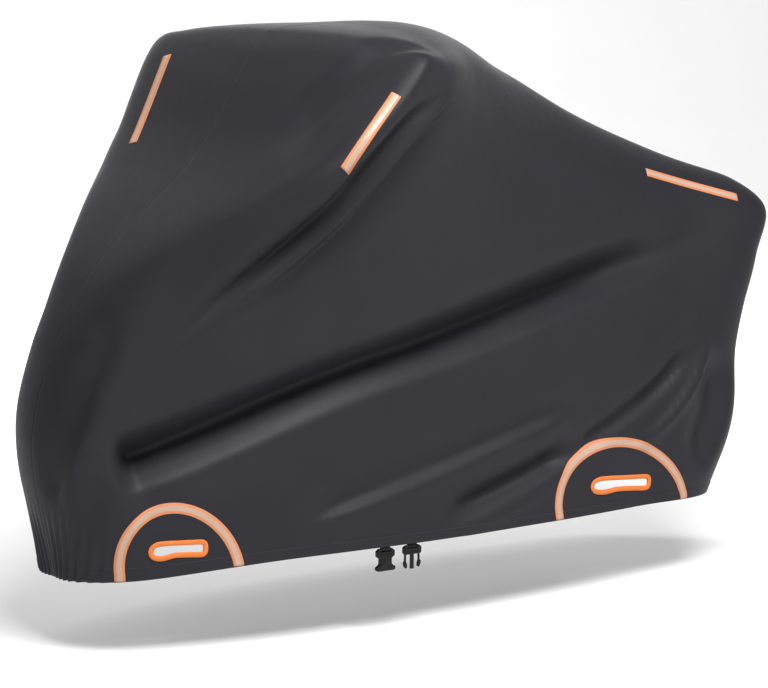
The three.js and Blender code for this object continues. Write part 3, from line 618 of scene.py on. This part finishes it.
# Dyed polyester binding: matt and bright, with a fine slanted rib
binding_material, tree, shader = new_material("orange_binding")
place_in = node(tree, "ShaderNodeTexCoord").outputs["Object"]
dye = node(tree, "ShaderNodeTexNoise", Vector=place_in, Scale=BINDING_PATCHES, Detail=3.0)
tree.links.new(blend_colours(tree, dye.outputs["Fac"], "#dc7430", "#e28244"), shader.inputs["Base Color"])
ribbed = node(tree, "ShaderNodeTexWave", {"bands_direction": "DIAGONAL"}, Vector=place_in, Scale=BINDING_RIBS)
grain = node(tree, "ShaderNodeBump", Height=ribbed.outputs["Fac"], Strength=0.2, Distance=BINDING_DEPTH)
tree.links.new(grain.outputs["Normal"], shader.inputs["Normal"])
shader.inputs["Roughness"].default_value = 0.7
shader.inputs["Specular IOR Level"].default_value = 0.25


def binding(name, side, arch):
    """A binding round one slot, with its section laid on the cloth."""
    place = side_frame(side, arch, arch["slot_x"], arch["slot_z"], arch["slot_lean"])
    points, away = slot_edge(arch)
    beds = []
    for point, direction in zip(points, away):
        inner, normal = onto_cloth(side, place, *(point + direction * INNER))
        outer, _ = onto_cloth(side, place, *(point + direction * OUTER))
        beds.append((inner, (outer - inner) / (OUTER - INNER), normal))
    bm = bmesh.new()
    folds = len(BINDING_SECTION)
    bmesh.ops.create_grid(bm, x_segments=len(points), y_segments=folds, size=1)
    for vert in bm.verts:
        inner, step, normal = beds[round((vert.co.x + 1) / 2 * len(points)) % len(points)]
        across, height = BINDING_SECTION[round((vert.co.y + 1) / 2 * folds) % folds]
        vert.co = inner + step * (across - INNER) + normal * height * MM
    bmesh.ops.remove_doubles(bm, verts=bm.verts, dist=BINDING_WELD)
    bmesh.ops.recalc_face_normals(bm, faces=bm.faces)
    piece = finish_piece(bm, name, binding_material)
    trims[side].append(piece)
    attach(piece, "root")
    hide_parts(name)


for side in ("near", "far"):
    for name, arch in ARCHES.items():
        binding(f"binding_{name}_{side}", side, arch)

# Stitching: a row of charcoal thread that holds the turned hem, round the whole lower edge. The stitches are
# drawn 7 mm long, about twice their real length, so that they show.
STITCH = 7
STITCH_RINGS = 4
STITCH_SIDES = 6
STITCH_PINCH = 0.35        # share of the thread's radius where it dips into the cloth
STITCH_WELD = 0.000001
THREAD = 0.55              # radius of the thread
THREAD_LIFT = 0.2          # its middle lies this far above the cloth
THREAD_TWIST = 400.0       # per metre: the lay of the thread
ROW_LEVEL = 0.105          # levels from the edge up to the row
ROW_END = 0.02             # ribs from the seam to the first and the last stitch
ROW_MARKS = 420
# Spun polyester thread: matt, and a little paler than the cloth where it twists
thread_material, tree, shader = new_material("polyester_thread")
place_in = node(tree, "ShaderNodeTexCoord").outputs["Object"]
lay = node(tree, "ShaderNodeTexNoise", Vector=place_in, Scale=THREAD_TWIST)
tree.links.new(blend_colours(tree, lay.outputs["Fac"], "#2b2a2f", "#3a393f"), shader.inputs["Base Color"])
shader.inputs["Roughness"].default_value = 0.65


def stitch_row(name, side, points, normals):
    """A row of stitches along points on the cloth, given the way the cloth faces at each."""
    points, normals = np.array(points), np.array(normals)
    length = np.concatenate([[0], np.cumsum(np.linalg.norm(np.diff(points, axis=0), axis=1))])
    rings = STITCH_RINGS * max(2, round(length[-1] / (STITCH * MM)))
    even = np.linspace(0, length[-1], rings + 1)
    points = np.stack([np.interp(even, length, points[:, k]) for k in range(3)], axis=1)
    normals = np.stack([np.interp(even, length, normals[:, k]) for k in range(3)], axis=1)
    aside = np.cross(normals, np.gradient(points, axis=0))
    aside /= np.linalg.norm(aside, axis=1, keepdims=True)
    bm = bmesh.new()
    bmesh.ops.create_grid(bm, x_segments=rings, y_segments=STITCH_SIDES, size=1)
    for vert in bm.verts:
        k = round((vert.co.x + 1) / 2 * rings)
        turn = (vert.co.y + 1) * math.pi
        swell = STITCH_PINCH + (1 - STITCH_PINCH) * math.sin(math.pi * (k % STITCH_RINGS) / STITCH_RINGS)
        radius = THREAD * MM * swell
        vert.co = points[k] + aside[k] * math.cos(turn) * radius
        vert.co += Vector(normals[k]) * (math.sin(turn) * radius + THREAD_LIFT * MM)
    bmesh.ops.remove_doubles(bm, verts=bm.verts, dist=STITCH_WELD)
    bmesh.ops.recalc_face_normals(bm, faces=bm.faces)
    piece = finish_piece(bm, name, thread_material)
    trims[side].append(piece)
    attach(piece, "root")


for side in ("near", "far"):
    rib = np.linspace(ROW_END, LAST_RIB - ROW_END, ROW_MARKS)
    level = np.full_like(rib, HEM_LEVEL - ROW_LEVEL)
    spots = [cloth_faces[side].find_nearest(Vector(point))[0] for point in finished_cover(side, rib, level)]
    stitch_row(f"stitching_{side}", side, spots, normals_of(plain_cover, side, rib, level))

# The buckle that closes below the cover: two halves of black moulded plastic, side by side on the near hem,
# each on a loop of black webbing that is sewn behind the hem. The left half is the waisted socket, the right
# one has the prongs. Sizes are in millimetres, from the hem's edge and the middle of a half.
WEB_GAP = 3.7              # from the cloth's inner face to the webbing
WEB_WIDTH = 26
WEB_THICK = 1.6
WEB_PLY = 0.95             # share of the thickness that is drawn, so that the two plies don't touch
WEB_EDGE = 0.4
WEB_CELLS = 10
WEB_LEVELS = (18, 8, -1.5)     # heights along each ply, from its sewn end down
BAR_Z = -7                 # the bar that the webbing loops round, below the hem
BAR = 4
BAR_ENDS = 2               # the bar runs this far into the sides of its half
LOOP_PLAY = 0.3
LOOP = BAR * math.sqrt(0.5) + LOOP_PLAY + WEB_THICK / 2
LOOP_MARKS = 25
BUCKLE_TOP = -5
SOCKET = ((17, -5), (24.5, -11), (24.5, -23), (16, -29), (16, -42), (19, -46), (26, -50), (26, -56),
          (23, -59))
SOCKET_THICK = 13
SOCKET_ROUND = 1.6
MOUTH = (-13, 13, -62, -25)    # left, right, low and high
MOUTH_THICK = 9
BLOCK = ((18, -5), (25, -10), (25, -23), (21, -27))
BLOCK_THICK = 11
BLOCK_ROUND = 1.4
PRONG = ((17.5, -26), (21, -26), (21.5, -42), (25, -47), (23.5, -55), (19, -61), (14.5, -58), (15.5, -49),
         (18, -43))
GUIDE = (-4.5, 4.5, -63, -24)
PRONG_THICK = 6
PRONG_ROUND = 0.8
GRIP = 0.8                 # half the height of a grip rib
GRIP_ROUND = 0.3
SOCKET_GRIPS = (6.4, 17, (-17.5, -20.5))       # how far out, half their length, heights
BLOCK_GRIPS = (5.4, 18, (-19, -22))
HALVES = {"female": 3.68, "male": 3.86}        # the ribs at which they hang
EDGE_ROUND = 0.4
SHARP = 35                 # edges sharper than this many degrees stay crisp
TWILL = 110.0              # ribs of the webbing 3 mm apart, coarser than real ones so that they show
TWILL_DEPTH = 0.0005
MOULD_GRAIN = 700.0        # per metre: the grain of the mould, about 1.4 mm
MOULD_DEPTH = 0.0002
# Polypropylene webbing: matt black, with a slanted twill that catches the light
web_material, tree, shader = new_material("black_webbing")
web_uv = node(tree, "ShaderNodeUVMap", {"uv_map": "web"}).outputs["UV"]
twill_and_sheen = node(tree, "ShaderNodeTexWave", {"bands_direction": "DIAGONAL"}, Vector=web_uv, Scale=TWILL)
# Painted sheen: the colour is painted lighter on the twill's raised ribs, where light would catch them
tree.links.new(blend_colours(tree, twill_and_sheen.outputs["Fac"], "#0e0e10", "#1a1a1c"), shader.inputs["Base Color"])
threads = node(tree, "ShaderNodeBump", Height=twill_and_sheen.outputs["Fac"], Strength=0.4, Distance=TWILL_DEPTH)
tree.links.new(threads.outputs["Normal"], shader.inputs["Normal"])
shader.inputs["Roughness"].default_value = 0.8
# Moulded acetal: black with a dull gloss and a fine grain from the mould
plastic_material, tree, shader = new_material("black_acetal")
place_in = node(tree, "ShaderNodeTexCoord").outputs["Object"]
mould = node(tree, "ShaderNodeTexNoise", Vector=place_in, Scale=MOULD_GRAIN, Detail=2.0)
tree.links.new(blend_colours(tree, mould.outputs["Fac"], "#08080a", "#0d0d0f"), shader.inputs["Base Color"])
skin = node(tree, "ShaderNodeBump", Height=mould.outputs["Fac"], Strength=0.08, Distance=MOULD_DEPTH)
tree.links.new(skin.outputs["Normal"], shader.inputs["Normal"])
shader.inputs["Roughness"].default_value = 0.42
shader.inputs["Specular IOR Level"].default_value = 0.3


def hem_frame(rib):
    """A frame on the near hem: x along the hem, y outward, z up, with its middle plane in the webbing."""
    at = (np.array([rib]), np.array([float(HEM_LEVEL)]))
    point = folded_cover("near", *at)[0]
    normal = normals_of(plain_cover, "near", *at)[0]
    out = Vector((normal[0], normal[1], 0)).normalized()
    along = out.cross(Vector((0, 0, 1)))
    origin = (point - CROWN) * MM - np.array(out) * (CLOTH + WEB_GAP + WEB_THICK) * MM
    axes = (along, out, Vector((0, 0, 1)))
    return Matrix([[*[axis[k] for axis in axes], origin[k]] for k in range(3)] + [[0, 0, 0, 1]])


def webbing(name, place):
    """A strip of webbing that runs down behind the hem, round the bar and up again."""
    turn = np.linspace(0, -math.pi, LOOP_MARKS)
    loop = [(LOOP * math.cos(t), BAR_Z + LOOP * math.sin(t)) for t in turn]
    down = [(WEB_THICK / 2, z) for z in WEB_LEVELS]
    line = np.array([*down, *loop, *[(-out, z) for out, z in reversed(down)]])
    length = np.concatenate([[0], np.cumsum(np.linalg.norm(np.diff(line, axis=0), axis=1))])
    bm = bmesh.new()
    bmesh.ops.create_grid(bm, x_segments=len(line) - 1, y_segments=WEB_CELLS, size=1)
    layer = bm.loops.layers.uv.new("web")
    cut = {}
    for vert in bm.verts:
        k = round((vert.co.x + 1) / 2 * (len(line) - 1))
        across = vert.co.y * WEB_WIDTH / 2
        cut[vert] = (length[k] * MM, across * MM)
        vert.co = place @ (Vector((across, *line[k])) * MM)
    for face in bm.faces:
        for corner in face.loops:
            corner[layer].uv = cut[corner.vert]
    piece = finish_piece(bm, name, web_material)
    layer = piece.modifiers.new("webbing", "SOLIDIFY")
    layer.thickness = WEB_THICK * MM * WEB_PLY
    layer.offset = 0
    edge = piece.modifiers.new("edge", "BEVEL")
    edge.width = WEB_EDGE * MM
    edge.segments = 2
    apply_modifiers(piece)
    trims["near"].append(piece)
    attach(piece, "root")
    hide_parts(name)


def moulding(place, half, thick, bevel, both=True):
    """A flat moulding from the right half of its outline, or from a whole outline, with its edges rounded."""
    outline = [*half, *[(-x, z) for x, z in reversed(half)]] if both else half
    bm = bmesh.new()
    face = bm.faces.new([bm.verts.new((x, -thick / 2, z)) for x, z in outline])
    pushed = bmesh.ops.extrude_face_region(bm, geom=[face])["geom"]
    bmesh.ops.translate(bm, verts=[v for v in pushed if isinstance(v, bmesh.types.BMVert)], vec=(0, thick, 0))
    bmesh.ops.recalc_face_normals(bm, faces=bm.faces)
    bmesh.ops.bevel(bm, geom=bm.edges, offset=bevel, offset_type="OFFSET", affect="EDGES", segments=3,
                    profile=0.5, material=-1, clamp_overlap=True)
    bmesh.ops.transform(bm, verts=bm.verts, matrix=place @ Matrix.Scale(MM, 4))
    return bm


def join_mouldings(name, parts, cuts):
    """A piece from one moulding with others cut out of it and then more joined to it."""
    piece = finish_piece(parts[0], name, plastic_material)
    tools = []
    for bm, operation in [*[(cut, "DIFFERENCE") for cut in cuts], *[(part, "UNION") for part in parts[1:]]]:
        tools.append(finish_piece(bm, "tool", plastic_material))
        step = piece.modifiers.new("shape", "BOOLEAN")
        step.solver = "EXACT"
        step.operation = operation
        step.object = tools[-1]
    apply_modifiers(piece)
    for tool in tools:
        bpy.data.objects.remove(tool)
    piece.data.set_sharp_from_angle(angle=math.radians(SHARP))
    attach(piece, "root")
    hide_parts(name)
    trims["near"].append(piece)


def box(place, left, right, low, high, thick, bevel=EDGE_ROUND):
    """A plain block across the middle plane of a half."""
    return moulding(place, ((right, low), (right, high), (left, high), (left, low)), thick, bevel, both=False)


def grip_ribs(place, out, reach, heights):
    """Raised ribs on the outer face of a half, for the fingers."""
    face = place @ Matrix.Translation((0, out * MM, 0))
    return [box(face, -reach, reach, z - GRIP, z + GRIP, 2 * GRIP, GRIP_ROUND) for z in heights]


WINDOW_PLAY = 1            # from the webbing to the sides of its window
WINDOW_PAST = 2            # the window is cut this far past the top of a half
WINDOW_CUT = 40
WINDOW_HALF = WEB_WIDTH / 2 + WINDOW_PLAY
WINDOW = (-WINDOW_HALF, WINDOW_HALF, BAR_Z - LOOP - WEB_THICK, BUCKLE_TOP + WINDOW_PAST)
BAR_REACH = WEB_WIDTH / 2 + BAR_ENDS
for half, rib in HALVES.items():
    place = hem_frame(rib)
    webbing(f"webbing_{half}", place)
    bar = box(place, -BAR_REACH, BAR_REACH, BAR_Z - BAR / 2, BAR_Z + BAR / 2, BAR)
    window = box(place, *WINDOW, WINDOW_CUT)
    if half == "female":
        body = moulding(place, SOCKET, SOCKET_THICK, SOCKET_ROUND)
        mouth = box(place, *MOUTH, MOUTH_THICK)
        join_mouldings("buckle_female", [body, bar, *grip_ribs(place, *SOCKET_GRIPS)], [window, mouth])
    else:
        body = moulding(place, BLOCK, BLOCK_THICK, BLOCK_ROUND)
        guide = box(place, *GUIDE, PRONG_THICK, PRONG_ROUND)
        prongs = [moulding(place, [(hand * x, z) for x, z in PRONG], PRONG_THICK, PRONG_ROUND, both=False)
                  for hand in (-1, 1)]
        join_mouldings("buckle_male", [body, bar, guide, *prongs, *grip_ribs(place, *BLOCK_GRIPS)], [window])

# Studio: a pale floor that curves up into a backdrop, one soft key light from above, a weak one from the
# right, one on the backdrop and one behind, and a camera at the photograph's angle. Places are in metres.
GROUND = -CROWN[2] * MM
VIEW_TURN = -36            # degrees that the camera and the floor are turned about the upright
FLOOR_HALF = 30
FLOOR_RUN, FLOOR_FRONT = 34, 14        # length over the curve, and how much of it lies before the middle
FLAT_BACK = 8              # the floor is flat this far behind the middle
SWEEP = 6                  # radius of the curve up into the backdrop
bm = bmesh.new()
bmesh.ops.create_grid(bm, x_segments=4, y_segments=60, size=1)
for vert in bm.verts:
    across, back = vert.co.x, (vert.co.y + 1) / 2
    run = FLOOR_RUN * back - FLOOR_FRONT
    bend = max(0.0, run - FLAT_BACK) / SWEEP
    curl = min(bend, math.pi / 2)
    depth = min(run, FLAT_BACK) + SWEEP * math.sin(curl)
    vert.co = (across * FLOOR_HALF, depth, SWEEP * (1 - math.cos(curl)))
    vert.co.z += max(0.0, bend - math.pi / 2) * SWEEP
turned = Matrix.Rotation(math.radians(VIEW_TURN), 3, "Z")
bmesh.ops.rotate(bm, verts=bm.verts, cent=(0, 0, 0), matrix=turned)
bmesh.ops.translate(bm, verts=bm.verts, vec=(0, 0, GROUND))
floor_material, tree, shader = new_material("matt_studio_paper")
grain = node(tree, "ShaderNodeTexNoise", Vector=node(tree, "ShaderNodeTexCoord").outputs["Object"], Scale=3.0)
tree.links.new(blend_colours(tree, grain.outputs["Fac"], "#d4d4d4", "#d8d8d8"), shader.inputs["Base Color"])
shader.inputs["Roughness"].default_value = 0.9
shader.inputs["Emission Color"].default_value = linear("#ffffff")
shader.inputs["Emission Strength"].default_value = 0.3    # the light that a white studio throws back
floor = finish_piece(bm, "studio_floor", floor_material)

world = bpy.data.worlds.new("studio")
bpy.context.scene.world = world
world.use_nodes = True
world.node_tree.nodes["Background"].inputs["Color"].default_value = (1, 1, 1, 1)
world.node_tree.nodes["Background"].inputs["Strength"].default_value = 0.06


def area_light(name, place, target, size, power):
    """A soft rectangular lamp that the camera doesn't see, turned to its target."""
    light = bpy.data.lights.new(name, "AREA")
    light.shape = "RECTANGLE"
    light.size, light.size_y = size
    light.energy = power
    lamp = bpy.data.objects.new(name, light)
    lamp.location = place
    lamp.rotation_euler = (Vector(target) - Vector(place)).to_track_quat("-Z", "Y").to_euler()
    lamp.visible_camera = False
    bpy.context.scene.collection.objects.link(lamp)


COVER_MIDDLE = (0.1, 0, -0.65)
area_light("key", (-0.8, -3.1, 3.9), COVER_MIDDLE, (3.0, 1.8), 480)
area_light("right", (3.8, -4.4, 1.0), COVER_MIDDLE, (2.4, 1.8), 25)
area_light("backdrop", (-1.0, 5.0, 5.0), (5.0, 10.0, 0.0), (7.0, 4.0), 1000)
area_light("behind", (2.6, 4.4, 0.1), (0.1, 0, -1.3), (4.0, 2.0), 90)
bpy.context.scene.view_settings.view_transform = "Standard"

PHOTO_WIDTH = 768                      # the photograph is 768 by 688 pixels
FOCAL_PIXELS = 3100
SENSOR = 36
CAMERA_PLACE = (-4.583, -6.185, 1.851)         # from the tables' origin
CAMERA_DIP = 9.054         # degrees below the level
camera_data = bpy.data.cameras.new("photo_angle")
camera_data.sensor_width = SENSOR
camera_data.lens = FOCAL_PIXELS / PHOTO_WIDTH * SENSOR
camera = bpy.data.objects.new("photo_angle", camera_data)
camera.location = (CAMERA_PLACE[0] - CROWN[0] * MM, CAMERA_PLACE[1], CAMERA_PLACE[2] + GROUND)
camera.rotation_euler = (math.radians(90 - CAMERA_DIP), 0, math.radians(VIEW_TURN))
bpy.context.scene.collection.objects.link(camera)
bpy.context.scene.camera = camera
